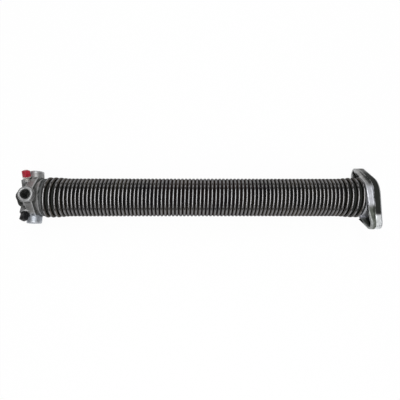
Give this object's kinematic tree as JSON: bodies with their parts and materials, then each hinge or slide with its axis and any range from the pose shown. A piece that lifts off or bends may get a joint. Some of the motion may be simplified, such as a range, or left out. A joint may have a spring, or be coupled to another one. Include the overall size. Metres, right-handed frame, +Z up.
{
  "type": "garage door torsion spring",
  "caption": "Close-wound left-hand torsion spring with a winding cone with bar sockets and set screws at one end and a two-eared stationary cone at the other.",
  "frame": {"origin": "on the shaft axis, at the face of the stationary cone that bolts to the wall bracket", "axes": "+X along the shaft axis, out of the bolting face, so the spring and winding cone lie at -X; +Z up, with the winding cone's four sockets along Y and Z"},
  "size_m": [0.5852, 0.1094, 0.086],
  "materials": {
    "spring_wire": "oil-tempered, satin",
    "cast_aluminium": "as cast",
    "red_steel": "head painted, shank zinc plated",
    "black_steel": "black oxide"
  },
  "bodies": {
    "stationary_end": {"stationary_cone": "cast_aluminium", "spring": "spring_wire"},
    "winding_end": {"winding_cone": "cast_aluminium", "set_screw_red": "red_steel", "set_screw_black": "black_steel"}
  },
  "joints": [
    {"name": "winding", "type": "hinge", "parent": "stationary_end", "child": "winding_end", "pos_m": [-0.56057, 0, 0], "axis": [1, 0, 0], "range_deg": [0, 2700], "stiffness_Nm_per_rad": 1.12, "deforming": ["spring"]}
  ]
}
